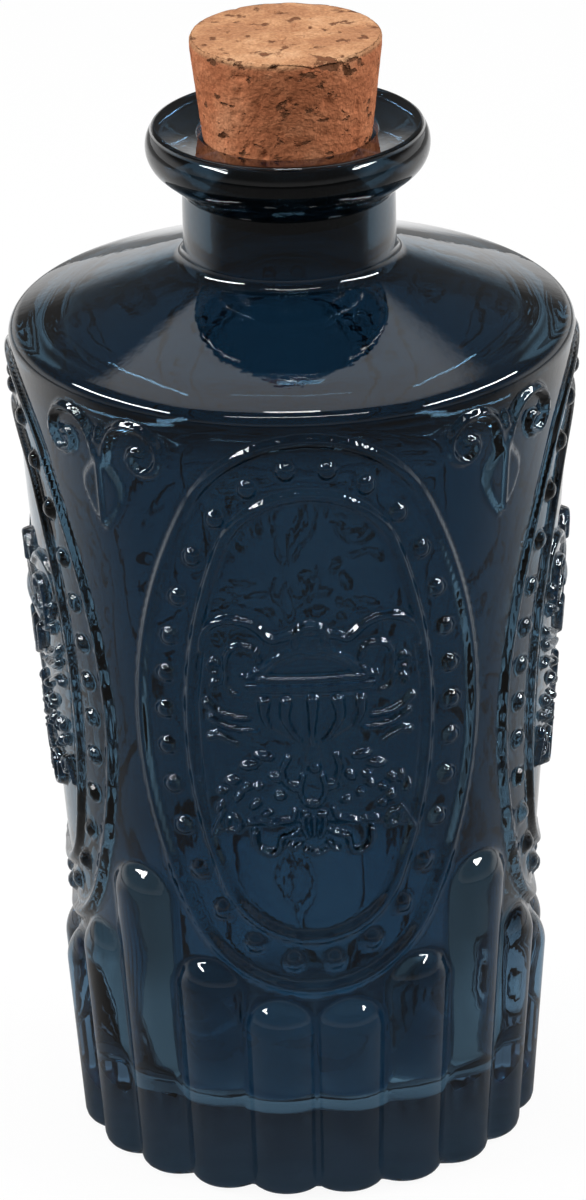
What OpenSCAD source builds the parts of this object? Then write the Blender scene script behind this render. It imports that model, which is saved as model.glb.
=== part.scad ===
// Pressed glass bottle with a tapered cork.
// The body is a cone that widens to a rounded shoulder. Flutes rise from the base. Oval
// medallions go round the wall: each has an urn on a plaque inside two rings, with a row of
// beads between the rings. Twin scrolls with a hanging leaf fill the corners above.
// Origin: centre of the resting face. One medallion faces the front (-Y). Millimetres.

/* [Body] */
// Radius of the wall at the resting plane, between the flutes
base_r = 37.8; // [35:0.1:40]
// Radius of the shoulder edge before it is rounded
shoulder_r = 50.1; // [48:0.1:53]
// Height of the shoulder edge before it is rounded
shoulder_z = 153.8; // [152.5:0.1:158]
// Rounding of the shoulder edge
shoulder_round = 3; // [1.5:0.1:4.5]
// Height where the shoulder slope meets the neck
neck_z = 165.4; // [163:0.1:168]
// Thickness of the glass wall
wall = 3.2; // [2.4:0.1:4]
// Thickness of the glass in the floor
floor_t = 14; // [9:0.1:18]
// Rounding inside, where the wall meets the floor
floor_round = 8; // [4:0.5:12]
// Height of the hollow pushed up under the base
push_up = 2; // [0.8:0.1:4]
// Radius of that hollow at the resting plane
push_up_r = 26; // [18:0.5:30]

/* [Neck and lip] */
// Outer radius of the neck
neck_r = 18.75; // [18:0.05:20]
// Rounding where the neck grows out of the shoulder
neck_round = 3; // [1.5:0.1:4]
// Outer radius of the lip
lip_r = 25; // [24:0.1:27]
// Height of the lip's widest ring
lip_z = 185.8; // [184:0.1:188]
// Rounding of the lip's outer face
lip_round = 5.5; // [4.5:0.1:6]
// Height from the lip's widest ring to its crest
lip_crest = 3.8; // [2.5:0.1:4.2]
// Slope of the lip's underside, degrees from the axis
lip_under = 50; // [40:1:60]
// Depth of the dished top inside the crest
lip_dish = 1.4; // [0.6:0.1:2]
// Bevel of the mouth's edge
mouth_bevel = 1; // [0.5:0.1:1.5]
// Length of the tapered seat that grips the cork
seat_l = 9; // [6:0.1:11]

/* [Flutes] */
// Number of flutes round the base
flute_n = 20; // [16:4:24]
// How far a flute stands out from the wall
flute_h = 3.3; // [2.4:0.1:4]
// Top of the flutes under a medallion
flute_low_z = 39.4; // [30:0.1:42]
// Top of the flutes beside those
flute_mid_z = 46.8; // [38:0.1:54]
// Top of the flute between two medallions
flute_high_z = 62.8; // [52:0.1:72]

/* [Medallions] */
// Height of the middle of a medallion
oval_z = 95.5; // [94:0.1:96]
// Half the width of the outer ring, seen square on
outer_a = 29.7; // [27:0.1:30.4]
// Half the height of the outer ring
outer_b = 55; // [53:0.1:55.5]
// Half the width of the inner ring, seen square on
inner_a = 21.6; // [20.5:0.1:22.4]
// Half the height of the inner ring
inner_b = 44.7; // [43:0.1:45.5]
// Width of a ring
ring_w = 2.3; // [1.8:0.1:2.8]
// Height of a ring above the wall
ring_h = 1; // [0.6:0.05:1.4]
// Number of beads between the rings
bead_n = 30; // [20:1:36]
// Radius of a bead
bead_r = 1.9; // [1.2:0.1:2.4]
// Height of a bead above the wall
bead_h = 1; // [0.6:0.05:1.2]

/* [Urn] */
// Height of the plaque above the wall
plaque_h = 0.55; // [0.3:0.05:0.8]
// Radius of the two arches on the plaque's top
arch_r = 6.8; // [5:0.1:8]
// Height of the arches' tops
arch_z = 114.8; // [112:0.1:117]
// Height of the plaque's lower edge
plaque_z = 73; // [70:0.5:78]
// Height of the urn above the wall
urn_h = 1.2; // [0.8:0.05:1.4]
// Height of the rim's bar, the ribs and the knot above the wall
rib_h = 1.7; // [1.3:0.05:2]
// Height of the urn's rim
rim_z = 104.2; // [102:0.1:106]
// Width of the urn's rim
rim_w = 22.8; // [18:0.2:25]
// Radius of the bowl
bowl_r = 9.7; // [8:0.1:10.5]
// Radius of the lid's arch
lid_r = 10.4; // [9:0.1:11]
// Radius of the knob on the lid
knob_r = 2.8; // [2:0.1:3.4]
// Number of ribs on the bowl
rib_n = 5; // [3:1:7]
// Radius of the knot under the bowl
knot_r = 1.5; // [1:0.1:1.8]
// Width of a carved line, such as the rim's bar or a scroll
line_w = 1.5; // [1:0.1:1.8]

/* [Corner sprays] */
// Height of the middle of the scrolls
scroll_z = 144.5; // [143:0.1:145]
// Outer radius of a scroll
scroll_r = 5.2; // [4:0.1:5.4]
// Length of the hanging leaf
drop_l = 15; // [10:0.5:18]
// Width of the hanging leaf
drop_w = 9.2; // [6:0.2:10]

/* [Cork] */
// Radius of the cork's top
cork_r = 17.1; // [16.6:0.05:17.6]
// How far the cork stands above the mouth
cork_rise = 17.8; // [12:0.1:22]
// Length of the cork
cork_l = 32; // [26:0.1:36]
// Radius that the cork loses over each millimetre of its length
cork_taper = 0.12; // [0.1:0.005:0.13]
// Width of the bevel on the cork's edges
cork_bevel = 0.6; // [0.2:0.1:1.2]
// Gap between the cork and its seat, on the radius
cork_gap = 0.05; // [0.02:0.01:0.1]

/* [Hidden] */
$fn = 96;

// The four sides of the bottle, each with one medallion
sides = 4;
side_step = 360 / sides;
// Depth to which raised work is rooted in the wall
root = 1.3;
// Taper of the wall, radius gained per millimetre of height
taper = (shoulder_r - base_r) / shoulder_z;
// Fall of the shoulder, height lost per millimetre of radius
fall = (neck_z - shoulder_z) / (shoulder_r - neck_r);
// Ring of the lip's crest
crest_z = lip_z + lip_crest;
crest_r = lip_r - lip_round + sqrt(pow(lip_round, 2) - pow(lip_crest, 2));
// The bottom of the dish, where the mouth begins, and the lower end of the cork's seat
mouth_z = crest_z - lip_dish;
seat_z = mouth_z - seat_l;
cork_z = mouth_z + cork_rise;
throat_r = cork_r - cork_taper * (cork_z - seat_z) + cork_gap;
// Where the lip's underside leaves its rounding, and where it meets the neck
under_r = lip_r - lip_round + lip_round * cos(lip_under);
under_z = lip_z - lip_round * sin(lip_under);
join_z = under_z - (under_r - neck_r) / tan(lip_under);
// Angle from one flute to the next, and the height of the groove between two above the wall
flute_step = 360 / flute_n;
groove_h = 0.4;
// Small overlap between drawn outlines
step = 0.3;
// How much narrower than the bead its root is
bead_neck = 0.2;
// Heights of the urn's rim and of the middle of its bowl above the medallion's middle
rim = rim_z - oval_z;
bowl = rim - 0.3 * bowl_r;

// Radius of the outer wall at height z
function wall_r(z) = base_r + taper * z;
// Radius of the cork at height z
function cork_at(z) = cork_r - cork_taper * (cork_z - z);
function unit(v) = v / norm(v);
// Half the angle at corner c between the lines to a and b
function half_angle(c, a, b) = acos(unit(a - c) * unit(b - c)) / 2;
// Centre of a circle of radius r that touches the lines from corner c to a and b
function round_centre(c, a, b, r) =
    c + unit(unit(a - c) + unit(b - c)) * r / sin(half_angle(c, a, b));
// The point where that circle touches the line from c to a
function round_touch(c, a, b, r) = c + unit(a - c) * r / tan(half_angle(c, a, b));
// Flute section at height z: [distance of its centre from the axis, its radius]
function flute_at(z) =
    let (tip = wall_r(z) + flute_h,
         groove = wall_r(z) + groove_h,
         rise = tip - groove * cos(flute_step / 2),
         half = groove * sin(flute_step / 2),
         r = (rise * rise + half * half) / (2 * rise))
    [tip - r, r];
// Height of the flute at azimuth az
function flute_top(az) =
    let (off = abs(az - side_step * round(az / side_step)))
    off < 0.2 * side_step ? flute_low_z : off < 0.45 * side_step ? flute_mid_z : flute_high_z;
// Corner where wall and shoulder meet, t inside the outer surface
function shoulder_corner(t) =
    let (across = t * sqrt(1 + taper * taper),
         down = t * sqrt(1 + fall * fall),
         r = (base_r - across + taper * (neck_z + fall * neck_r - down)) / (1 + taper * fall))
    [r, (r - base_r + across) / taper];

// Fills the inner corner c between the lines to a and b with a round of radius r
module fillet(c, a, b, r) {
    difference() {
        polygon([c - unit(unit(a - c) + unit(b - c)), round_touch(c, a, b, r),
            round_touch(c, b, a, r)]);
        translate(round_centre(c, a, b, r)) circle(r);
    }
}

// Outline of the body of revolution, without the flutes and the raised work
module outer_outline() {
    foot = [base_r, 0];
    edge = [shoulder_r, shoulder_z];
    neck = [neck_r, neck_z];
    polygon([[0, 0], foot,
        round_touch(edge, foot, neck, shoulder_round),
        round_touch(edge, neck, foot, shoulder_round), neck,
        [neck_r, join_z], [under_r, under_z], [crest_r, crest_z], [0, crest_z]]);
    translate(round_centre(edge, foot, neck, shoulder_round)) circle(shoulder_round);
    translate([lip_r - lip_round, lip_z]) circle(lip_round);
    fillet(neck, edge, [neck_r, join_z], neck_round);
}

// Outline of the hollow: the body's inside, the throat, the cork's seat and the dished lip
module hollow_outline() {
    corner = shoulder_corner(wall);
    foot = [wall_r(floor_t) - wall, floor_t];
    throat = [throat_r, neck_z + fall * (neck_r - throat_r) - wall * sqrt(1 + fall * fall)];
    seat_top = cork_at(mouth_z) + cork_gap;
    polygon([[0, floor_t], round_touch(foot, [0, floor_t], corner, floor_round),
        round_touch(foot, corner, [0, floor_t], floor_round),
        round_touch(corner, foot, throat, shoulder_round),
        round_touch(corner, throat, foot, shoulder_round), throat,
        [throat_r, seat_z], [seat_top, mouth_z], [0, mouth_z]]);
    translate(round_centre(foot, corner, [0, floor_t], floor_round)) circle(floor_round);
    translate(round_centre(corner, foot, throat, shoulder_round)) circle(shoulder_round);
    polygon([[0, mouth_z - mouth_bevel], [cork_at(mouth_z - mouth_bevel) + cork_gap, mouth_z - mouth_bevel],
        [seat_top + mouth_bevel, mouth_z], [crest_r, crest_z], [crest_r, crest_z + lip_round],
        [0, crest_z + lip_round]]);
}

// One flute as a rod of revolution with a slow taper and a domed top
module flute(top) {
    low = flute_at(0);
    high = flute_at(top);
    // The dome meets the wall at the flute's top, so its centre lies lower
    dome_z = top - sqrt(pow(high[1], 2) - pow(wall_r(top) - high[0], 2));
    lean = atan((high[0] - low[0]) / top);
    r_dome = flute_at(dome_z)[1];
    translate([0, -low[0], 0])
        rotate([lean, 0, 0])
            rotate_extrude() {
                polygon([[0, 0], [low[1], 0], [r_dome, dome_z], [0, dome_z]]);
                intersection() {
                    translate([0, dome_z]) circle(r_dome);
                    translate([0, dome_z - r_dome / 2]) square(2 * r_dome);
                }
            }
}

module flutes() {
    for (i = [0 : flute_n - 1])
        let (az = (i + 0.5) * flute_step)
            rotate(az) flute(flute_top(az));
}

// A thin skin over the wall from z0 to z1 that ends at height h above it. Its root is deeper
// for a greater height, so that skins of different heights share no face inside the wall.
module wall_skin(h, z0, z1) {
    rotate_extrude()
        polygon([[wall_r(z0) - root - h / 2, z0], [wall_r(z0) + h, z0],
            [wall_r(z1) + h, z1], [wall_r(z1) - root - h / 2, z1]]);
}

// Raises flat outlines to height h above the wall, on every side from azimuth az, centred at z
module raised(h, az, z, reach) {
    near = 0.55 * wall_r(z);
    intersection() {
        for (k = [0 : sides - 1])
            rotate(az + k * side_step)
                translate([0, -near, z])
                    rotate([90, 0, 0])
                        linear_extrude(0.7 * wall_r(z)) children();
        wall_skin(h, z - reach, z + reach);
    }
}

// Oval of half width a and half height b, drawn with two large and two small arcs
module oval(a, b) {
    end_r = 0.77 * a;
    side_r = (a * a + b * b - 2 * b * end_r) / (2 * (a - end_r));
    tangent_z = side_r * (b - end_r) / (side_r - end_r);
    intersection() {
        translate([a - side_r, 0]) circle(side_r);
        translate([side_r - a, 0]) circle(side_r);
        square([2 * a + 2, 2 * tangent_z], center = true);
    }
    for (m = [-1, 1])
        translate([0, m * (b - end_r)]) circle(end_r);
}

// Band of width w inside an oval. It narrows at the sides, where the wall turns away.
module oval_band(a, b, w) {
    turned = w * sqrt(1 - pow(a / wall_r(oval_z), 2));
    difference() {
        oval(a, b);
        oval(a - turned, b - w);
    }
}

// The two rings of every medallion
module rings() {
    raised(ring_h, 0, oval_z, outer_b + 1) {
        oval_band(outer_a, outer_b, ring_w);
        oval_band(inner_a, inner_b, ring_w);
    }
}

// A bead is a short button with a domed face
module bead() {
    rotate_extrude() {
        translate([0, -root - bead_h]) square([bead_r - bead_neck, root + step]);
        intersection() {
            translate([0, -bead_r]) circle(bead_r);
            translate([0, step / 3 - bead_h]) square(2 * bead_r);
        }
    }
}

// Beads at even steps along the oval line midway between the rings
module beads() {
    arc = wall_r(oval_z) * PI / 180;
    half_w = arc * (asin(outer_a / wall_r(oval_z)) + asin(inner_a / wall_r(oval_z))) / 2 - ring_w / 2;
    half_h = (outer_b + inner_b - ring_w) / 2;
    // On an oval, even angles crowd the beads at the top and bottom, so the angles swing
    swing = 10 * (half_h - half_w) / half_w;
    for (k = [0 : sides - 1], i = [0 : bead_n - 1])
        let (even = (i + 0.5) * 360 / bead_n,
             t = even + swing * sin(2 * even),
             z = oval_z + half_h * cos(t),
             az = half_w * sin(t) / wall_r(z) * 180 / PI)
            rotate(k * side_step + az)
                translate([0, -(wall_r(z) + bead_h), z])
                    rotate([90, 0, 0]) bead();
}

// Part of a ring of outer radius r and width line_w, from angle a0 to a1
module bow(r, a0, a1) {
    intersection() {
        difference() {
            circle(r);
            circle(r - line_w);
        }
        polygon([[0, 0], each [for (i = [0 : 4])
            2 * r * [cos(a0 + (a1 - a0) * i / 4), sin(a0 + (a1 - a0) * i / 4)]]]);
    }
}

module both_sides() {
    children();
    mirror([1, 0]) children();
}

// The carved outlines below are drawn about the middle of a medallion.
// The plaque ends in two arches, and its sides run into the inner ring
module plaque() {
    arch_x = rim_w / 2 + step;
    arch = arch_z - arch_r - oval_z;
    intersection() {
        oval(inner_a - ring_w / 2, inner_b - ring_w / 2);
        union() {
            both_sides() translate([arch_x, arch]) circle(arch_r);
            translate([-inner_a, plaque_z - oval_z]) square([2 * inner_a, arch_z - arch_r - plaque_z]);
            translate([-arch_x, arch - arch_r / 2]) square([2 * arch_x, arch_r]);
        }
    }
}

// Lid with its knob, rim and bowl
module urn() {
    translate([0, rim + lid_r - knob_r]) circle(knob_r);
    intersection() {
        translate([0, rim - knob_r - step]) circle(lid_r);
        translate([-rim_w, rim - step]) square([2 * rim_w, rim_w]);
    }
    polygon([[-rim_w / 2, rim], [rim_w / 2, rim], [rim_w / 2 - line_w, bowl], [line_w - rim_w / 2, bowl]]);
    intersection() {
        translate([0, bowl]) circle(bowl_r);
        translate([-rim_w, bowl - rim_w]) square([2 * rim_w, rim_w + step]);
    }
}

// The rim's bar, the ribs of the bowl, and the knot under it
module ribs_and_knot() {
    rib_step = (2 * bowl_r - line_w) / rib_n;
    rib_r = 0.36 * rib_step;
    translate([line_w - rim_w / 2, rim - line_w / 2]) square([rim_w - 2 * line_w, line_w]);
    for (i = [0 : rib_n - 1])
        let (x = (i - (rib_n - 1) / 2) * rib_step,
             top = bowl - line_w,
             low = bowl - sqrt(pow(bowl_r, 2) - x * x) + step) {
            translate([x, top]) circle(rib_r);
            polygon([[x - 0.8 * rib_r, top], [x + 0.8 * rib_r, top],
                [x / 2 + step, low], [x / 2 - step, low]]);
        }
    translate([0, bowl - bowl_r - 2.5 * knot_r]) circle(knot_r);
}

// Twin scrolls with a leaf that hangs between them
module spray() {
    both_sides() {
        translate([scroll_r + line_w, 0]) bow(scroll_r, -140, 190);
        translate([scroll_r + line_w, -scroll_r / 3]) circle(line_w);
    }
    translate([-line_w - step, -scroll_r]) square([2 * (line_w + step), scroll_r + line_w]);
    polygon([[0, -line_w], [drop_w / 2, -scroll_r - 2 * line_w], [0, -line_w - drop_l],
        [-drop_w / 2, -scroll_r - 2 * line_w]]);
}

module carving() {
    raised(plaque_h, 0, oval_z, inner_b) plaque();
    raised(urn_h, 0, oval_z, inner_b) urn();
    raised(rib_h, 0, oval_z, inner_b) ribs_and_knot();
    raised(bead_h, side_step / 2, scroll_z, drop_l + scroll_r) spray();
}

module glass_bottle() {
    color([0.11, 0.17, 0.25])
        difference() {
            union() {
                rotate_extrude() outer_outline();
                flutes();
                rings();
                beads();
                carving();
            }
            rotate_extrude() hollow_outline();
            // The hollow pushed up under the base, and all that would lie under the resting plane
            let (ball_r = (pow(push_up_r, 2) + pow(push_up, 2)) / (2 * push_up))
                translate([0, 0, push_up - ball_r]) sphere(ball_r);
            translate([0, 0, -flute_h]) cube([4 * shoulder_r, 4 * shoulder_r, 2 * flute_h], center = true);
        }
}

module cork_stopper() {
    low_z = cork_z - cork_l;
    color([0.78, 0.53, 0.36])
        rotate_extrude()
            polygon([[0, low_z], [cork_at(low_z) - cork_bevel, low_z],
                [cork_at(low_z + cork_bevel), low_z + cork_bevel],
                [cork_at(cork_z - cork_bevel), cork_z - cork_bevel],
                [cork_r - cork_bevel, cork_z], [0, cork_z]]);
}

glass_bottle();
cork_stopper();
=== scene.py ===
import math

import bpy
import numpy as np
from mathutils import Matrix, Vector, noise


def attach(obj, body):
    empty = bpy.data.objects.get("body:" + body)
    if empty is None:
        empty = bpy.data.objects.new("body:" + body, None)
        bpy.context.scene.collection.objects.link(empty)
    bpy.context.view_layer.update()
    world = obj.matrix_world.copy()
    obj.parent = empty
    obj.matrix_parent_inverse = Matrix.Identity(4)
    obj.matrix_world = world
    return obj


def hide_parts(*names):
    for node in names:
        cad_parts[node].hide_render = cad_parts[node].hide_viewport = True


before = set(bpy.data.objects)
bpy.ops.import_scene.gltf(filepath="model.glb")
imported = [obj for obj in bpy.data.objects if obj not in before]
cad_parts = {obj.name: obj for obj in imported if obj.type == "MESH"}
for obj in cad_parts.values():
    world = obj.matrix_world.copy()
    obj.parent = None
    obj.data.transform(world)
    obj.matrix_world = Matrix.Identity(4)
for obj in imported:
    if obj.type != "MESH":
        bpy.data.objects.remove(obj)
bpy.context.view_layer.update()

# Shapes are worked out in millimetres, as in the part's source, and meshes are made in metres.
MM = 0.001

# Body
BASE_R = 37.8
SHOULDER_R = 50.1
SHOULDER_Z = 153.8
SHOULDER_ROUND = 3.0
NECK_Z = 165.4
NECK_R = 18.75
NECK_ROUND = 3.0
WALL = 3.2
FLOOR_T = 14.0
FLOOR_ROUND = 8.0
INNER_ROUND = 13.0
PUSH_UP = 2.0
PUSH_UP_R = 26.0
TAPER = (SHOULDER_R - BASE_R) / SHOULDER_Z
FALL = (NECK_Z - SHOULDER_Z) / (SHOULDER_R - NECK_R)

# Lip
LIP_R = 25.0
LIP_Z = 185.8
LIP_ROUND = 5.5
LIP_CREST = 3.8
LIP_UNDER = math.radians(50)
LIP_DISH = 1.4
CREST_ROUND = 1.6
MOUTH_BEVEL = 1.0
SEAT_L = 9.0
CREST_Z = LIP_Z + LIP_CREST
CREST_R = LIP_R - LIP_ROUND + math.sqrt(LIP_ROUND ** 2 - LIP_CREST ** 2)
MOUTH_Z = CREST_Z - LIP_DISH

# Cork
CORK_R = 17.1
CORK_RISE = 17.8
CORK_Z = MOUTH_Z + CORK_RISE
CORK_L = 32.0
CORK_TAPER = 0.12
CORK_GAP = 0.05

# Flutes
FLUTES = 20
FLUTE_STEP = math.radians(360 / FLUTES)
FLUTE_H = 3.3
GROOVE_H = 0.4
FLUTE_FOOT = 2.6
FLUTE_TOPS = (39.4, 46.8, 62.8)

# Medallions
SIDES = 4
SIDE_STEP = math.radians(360 / SIDES)
OVAL_Z = 95.5
OUTER_A, OUTER_B = 29.7, 55.0
INNER_A, INNER_B = 21.6, 44.7
RING_W = 2.3
RING_H = 1.0
BEADS = 30
BEAD_R = 1.75
BEAD_H = 1.3

# Radius on which the flat drawings of the carving are wrapped round the wall
DRAWING_R = 48.0

# Spacing of the mesh: fine where the urn is, wider elsewhere
FINE = 0.34
WIDE = 0.62
URN_HALF = 21.0

# Height and painted shade of the glass colour: painted light in the foot and the flutes, painted shade in a band
# under the shoulder's edge and on the neck and lip
GLASS_PAINTED_SHADES = (
    (0, 2.15), (12, 2.0), (34, 1.7), (43, 0.95), (66, 0.9), (84, 1.05), (142, 1.0), (147, 0.55), (152, 0.5), (155, 0.95),
    (163, 0.95), (167, 0.4), (190, 0.42))

# Roughness of the underside
UNDERSIDE_MATT = 0.5

# Brightness of the studio's surroundings, where 1 is white
SOFTBOX = 1.0
ROOM_LIGHT = 0.12


# Outlines of the body and the hollow

def wall_r(z):
    return BASE_R + TAPER * z


def cork_at(z):
    return CORK_R - CORK_TAPER * (CORK_Z - z)


def rounded(corners, steps=5):
    """Outline through corners given as (r, z, rounding). Each rounding becomes a tangent arc."""
    points = []
    for i, (r, z, fillet) in enumerate(corners):
        if fillet <= 0 or i == 0 or i == len(corners) - 1:
            points.append((r, z))
            continue
        here = np.array([r, z])
        to_last = np.array(corners[i - 1][:2]) - here
        to_next = np.array(corners[i + 1][:2]) - here
        to_last = to_last / np.linalg.norm(to_last)
        to_next = to_next / np.linalg.norm(to_next)
        half = math.acos(float(np.clip(to_last @ to_next, -1, 1))) / 2
        middle = to_last + to_next
        centre = here + middle / np.linalg.norm(middle) * fillet / math.sin(half)
        first = here + to_last * fillet / math.tan(half)
        last = here + to_next * fillet / math.tan(half)
        turn_from = math.atan2(*(first - centre)[::-1])
        turn = math.atan2(*(last - centre)[::-1]) - turn_from
        turn = (turn + math.pi) % (2 * math.pi) - math.pi
        count = max(3, int(steps * abs(turn)) + 2)
        for k in range(count + 1):
            a = turn_from + turn * k / count
            points.append((centre[0] + fillet * math.cos(a), centre[1] + fillet * math.sin(a)))
    return points


def spread(points, longest):
    """The same outline with no step longer than the given length."""
    out = [points[0]]
    for a, b in zip(points, points[1:]):
        pieces = max(1, math.ceil(math.dist(a, b) / longest))
        for k in range(1, pieces + 1):
            out.append((a[0] + (b[0] - a[0]) * k / pieces, a[1] + (b[1] - a[1]) * k / pieces))
    return out


def shoulder_corner(depth):
    across = depth * math.sqrt(1 + TAPER ** 2)
    down = depth * math.sqrt(1 + FALL ** 2)
    r = (BASE_R - across + TAPER * (NECK_Z + FALL * NECK_R - down)) / (1 + TAPER * FALL)
    return r, (r - BASE_R + across) / TAPER


def upper_outline(start_z):
    """From the top of the carved wall over shoulder, neck and lip to the mouth."""
    under_r = LIP_R - LIP_ROUND + LIP_ROUND * math.cos(LIP_UNDER)
    under_z = LIP_Z - LIP_ROUND * math.sin(LIP_UNDER)
    join_z = under_z - (under_r - NECK_R) / math.tan(LIP_UNDER)
    foot = rounded([
        (wall_r(start_z), start_z, 0),
        (SHOULDER_R, SHOULDER_Z, SHOULDER_ROUND),
        (NECK_R, NECK_Z, NECK_ROUND),
        (NECK_R, join_z, 1.2),
        (under_r, under_z, 0)], 6)
    lip = []
    for k in range(1, 15):
        a = -LIP_UNDER + (LIP_UNDER + math.radians(38)) * k / 14
        lip.append((LIP_R - LIP_ROUND + LIP_ROUND * math.cos(a), LIP_Z + LIP_ROUND * math.sin(a)))
    seat_top = cork_at(MOUTH_Z) + CORK_GAP
    top = rounded([
        (lip[-1][0], lip[-1][1], 0),
        (CREST_R, CREST_Z, CREST_ROUND * 0.6),
        (seat_top + MOUTH_BEVEL, MOUTH_Z, 0.5),
        (cork_at(MOUTH_Z - MOUTH_BEVEL) + CORK_GAP, MOUTH_Z - MOUTH_BEVEL, 0)], 8)
    return spread(foot + lip + top[1:], 2.4)


def inner_outline():
    """From the cork's seat down the throat and the hollow to the middle of the floor."""
    seat_z = MOUTH_Z - SEAT_L
    throat_r = cork_at(seat_z) + CORK_GAP
    corner_r, corner_z = shoulder_corner(WALL)
    throat_z = NECK_Z + FALL * (NECK_R - throat_r) - WALL * math.sqrt(1 + FALL ** 2)
    line = rounded([
        (cork_at(MOUTH_Z - MOUTH_BEVEL) + CORK_GAP, MOUTH_Z - MOUTH_BEVEL, 0),
        (throat_r, seat_z, 0),
        (throat_r, throat_z, 2.5),
        (corner_r, corner_z, INNER_ROUND),
        (wall_r(FLOOR_T) - WALL, FLOOR_T, FLOOR_ROUND),
        (0.6, FLOOR_T, 0)], 5)
    return spread(line, 3.2)


# The carving, drawn flat

def smooth_line(points, per_step=6):
    """A smooth curve through the drawn points."""
    p = [np.array(q, float) for q in points]
    p = [2 * p[0] - p[1]] + p + [2 * p[-1] - p[-2]]
    out = []
    for i in range(1, len(p) - 2):
        for k in range(per_step):
            t = k / per_step
            out.append(0.5 * (2 * p[i] + (p[i + 1] - p[i - 1]) * t
                              + (2 * p[i - 1] - 5 * p[i] + 4 * p[i + 1] - p[i + 2]) * t ** 2
                              + (3 * p[i] - p[i - 1] - 3 * p[i + 1] + p[i + 2]) * t ** 3))
    out.append(p[-2])
    return np.array(out)


class Carving:
    """Raised work on a grid of flat drawing points, u round the wall and z up."""

    def __init__(self, u, z):
        self.u = u
        self.z = z
        self.height = np.zeros_like(u)

    def area(self, low_u, high_u, low_z, high_z):
        return ((self.u >= low_u) & (self.u <= high_u) & (self.z >= low_z) & (self.z <= high_z))

    def stroke(self, points, half, height, half_end=None, full=0.7):
        """A rounded bar along a line. Its half width goes from half to half_end."""
        line = np.array(points, float)
        half_end = half if half_end is None else half_end
        reach = max(half, half_end)
        near = self.area(line[:, 0].min() - reach, line[:, 0].max() + reach,
                         line[:, 1].min() - reach, line[:, 1].max() + reach)
        if not near.any():
            return
        u, z = self.u[near], self.z[near]
        steps = np.linalg.norm(np.diff(line, axis=0), axis=1)
        run = np.concatenate([[0], np.cumsum(steps)]) / max(steps.sum(), 1e-9)
        best = np.zeros_like(u)
        for i in range(len(line) - 1):
            along = line[i + 1] - line[i]
            size = max(float(along @ along), 1e-9)
            t = np.clip(((u - line[i][0]) * along[0] + (z - line[i][1]) * along[1]) / size, 0, 1)
            away = np.hypot(u - line[i][0] - t * along[0], z - line[i][1] - t * along[1])
            width = half + (half_end - half) * (run[i] + (run[i + 1] - run[i]) * t)
            rise = height * np.clip(1 - (away / width) ** 2, 0, 1) ** full
            best = np.maximum(best, rise)
        self.height[near] = np.maximum(self.height[near], best)

    def knob(self, u0, z0, a, b, height, turn=0.0, full=0.6):
        """An oval dome. Turn is in degrees."""
        reach = max(a, b)
        near = self.area(u0 - reach, u0 + reach, z0 - reach, z0 + reach)
        c, s = math.cos(math.radians(turn)), math.sin(math.radians(turn))
        u, z = self.u[near] - u0, self.z[near] - z0
        away = ((u * c + z * s) / a) ** 2 + ((z * c - u * s) / b) ** 2
        rise = height * np.clip(1 - away, 0, 1) ** full
        self.height[near] = np.maximum(self.height[near], rise)

    def plate(self, points, height, edge=0.9):
        """A flat raised area whose edge rises over a short slope."""
        line = np.array(points, float)
        near = self.area(line[:, 0].min(), line[:, 0].max(), line[:, 1].min(), line[:, 1].max())
        u, z = self.u[near], self.z[near]
        inside = np.zeros(u.shape, bool)
        away = np.full(u.shape, 1e9)
        for i in range(len(line)):
            a, b = line[i], line[(i + 1) % len(line)]
            along = b - a
            size = max(float(along @ along), 1e-9)
            t = np.clip(((u - a[0]) * along[0] + (z - a[1]) * along[1]) / size, 0, 1)
            away = np.minimum(away, np.hypot(u - a[0] - t * along[0], z - a[1] - t * along[1]))
            crosses = (a[1] > z) != (b[1] > z)
            if abs(along[1]) > 1e-9:
                cut = a[0] + (z - a[1]) / along[1] * along[0]
                inside ^= crosses & (u < cut)
        t = np.clip(away / edge, 0, 1)
        rise = np.where(inside, height * (1 - (1 - t) ** 2.2), 0)
        self.height[near] = np.maximum(self.height[near], rise)


def oval_line(a, b, steps=160):
    """Oval of two large and two small arcs, as x seen square on and height."""
    end_r = 0.77 * a
    side_r = (a * a + b * b - 2 * b * end_r) / (2 * (a - end_r))
    tangent_z = side_r * (b - end_r) / (side_r - end_r)
    points = []
    for k in range(steps + 1):
        a_turn = 2 * math.pi * k / steps
        z = b * math.cos(a_turn)
        if abs(z) <= tangent_z:
            x = a - side_r + math.sqrt(side_r ** 2 - z ** 2)
        else:
            x = math.sqrt(max(0, end_r ** 2 - (abs(z) - b + end_r) ** 2))
        points.append((x if k <= steps / 2 else -x, z))
    return points


def ring_line(a, b):
    """The middle of a ring, as arc length round the wall and height."""
    turned = RING_W * math.sqrt(1 - (a / wall_r(OVAL_Z)) ** 2)
    line = []
    for x, z in oval_line(a - turned / 2, b - RING_W / 2):
        line.append((wall_r(OVAL_Z + z) * math.asin(x / wall_r(OVAL_Z + z)), OVAL_Z + z))
    return line


def bead_places():
    arc = wall_r(OVAL_Z)
    half_w = arc * (math.asin(OUTER_A / arc) + math.asin(INNER_A / arc)) / 2 - RING_W / 2
    half_h = (OUTER_B + INNER_B - RING_W) / 2
    swing = math.radians(15 * (half_h - half_w) / half_w * 0.68)
    places = []
    for i in range(BEADS):
        even = 2 * math.pi * (i + 0.5) / BEADS
        t = even + swing * math.sin(2 * even)
        places.append((half_w * math.sin(t), OVAL_Z + half_h * math.cos(t)))
    return places


def carve_rings(phi, z):
    """Two rings with a row of beads between them. Arc lengths are true at each height."""
    carving = Carving(phi * wall_r(z), z)
    for a, b in ((OUTER_A, OUTER_B), (INNER_A, INNER_B)):
        carving.stroke(ring_line(a, b), RING_W / 2, RING_H)
    for u, at_z in bead_places():
        carving.knob(u, at_z, BEAD_R, BEAD_R, BEAD_H, full=0.5)
    return carving.height


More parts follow.
